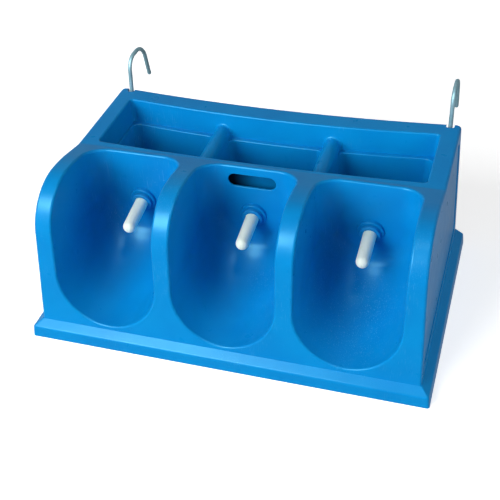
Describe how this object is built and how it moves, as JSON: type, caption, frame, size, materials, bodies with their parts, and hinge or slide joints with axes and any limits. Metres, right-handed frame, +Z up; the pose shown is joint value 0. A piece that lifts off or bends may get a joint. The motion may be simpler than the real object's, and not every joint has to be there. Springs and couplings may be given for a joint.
{
  "type": "calf teat feeder",
  "caption": "Blue moulded trough that feeds milk to young calves side by side, each at its own teat in a rounded head bay, with tanks behind and bar hooks to hang it on a rail.",
  "frame": {"origin": "middle of the whole object's box, hooks included, on the floor it stands on", "axes": "+X to the feeder's right seen from the calves' side, +Y from the calves towards the rail, +Z up"},
  "size_m": [0.9, 0.6766, 0.419],
  "materials": {
    "shell_plastic": "satin blue polyethylene as moulded",
    "teat_rubber": "off-white smooth rubber",
    "cap_plastic": "blue moulded plastic",
    "adaptor_plastic": "white moulded plastic",
    "seal_rubber": "black flat rubber",
    "nut_plastic": "white moulded plastic",
    "ball_plastic": "smooth white plastic",
    "hook_zinc": "zinc-plated steel bar",
    "washer_zinc": "zinc-plated steel",
    "nut_zinc": "zinc-plated steel"
  },
  "bodies": {
    "feeder": {"feeder_body": "shell_plastic", "teat_left": "teat_rubber", "cap_left": "cap_plastic", "adaptor_left": "adaptor_plastic", "seal_left": "seal_rubber", "back_nut_left": "nut_plastic", "teat_middle": "teat_rubber", "cap_middle": "cap_plastic", "adaptor_middle": "adaptor_plastic", "seal_middle": "seal_rubber", "back_nut_middle": "nut_plastic", "teat_right": "teat_rubber", "cap_right": "cap_plastic", "adaptor_right": "adaptor_plastic", "seal_right": "seal_rubber", "back_nut_right": "nut_plastic"},
    "valve_left": {"valve_ball_left": "ball_plastic"},
    "valve_middle": {"valve_ball_middle": "ball_plastic"},
    "valve_right": {"valve_ball_right": "ball_plastic"},
    "hook_left": {"hook_left": "hook_zinc", "hook_washer_left": "washer_zinc", "hook_nut_left": "nut_zinc"},
    "hook_right": {"hook_right": "hook_zinc", "hook_washer_right": "washer_zinc", "hook_nut_right": "nut_zinc"}
  },
  "joints": [
    {"name": "valve_left_lift", "type": "slide", "parent": "feeder", "child": "valve_left", "axis": [0, -0.9874, -0.1582], "range_m": [-0.003, 0]},
    {"name": "valve_middle_lift", "type": "slide", "parent": "feeder", "child": "valve_middle", "axis": [0, -0.9874, -0.1582], "range_m": [-0.003, 0]},
    {"name": "valve_right_lift", "type": "slide", "parent": "feeder", "child": "valve_right", "axis": [0, -0.9874, -0.1582], "range_m": [-0.003, 0]},
    {"name": "hook_left_swivel", "type": "hinge", "parent": "feeder", "child": "hook_left", "pos_m": [-0.39305, 0.21622, 0.3], "axis": [0, 0, 1], "range_deg": [-80, 90]},
    {"name": "hook_right_swivel", "type": "hinge", "parent": "feeder", "child": "hook_right", "pos_m": [0.39305, 0.21622, 0.3], "axis": [0, 0, 1], "range_deg": [-90, 80]}
  ]
}
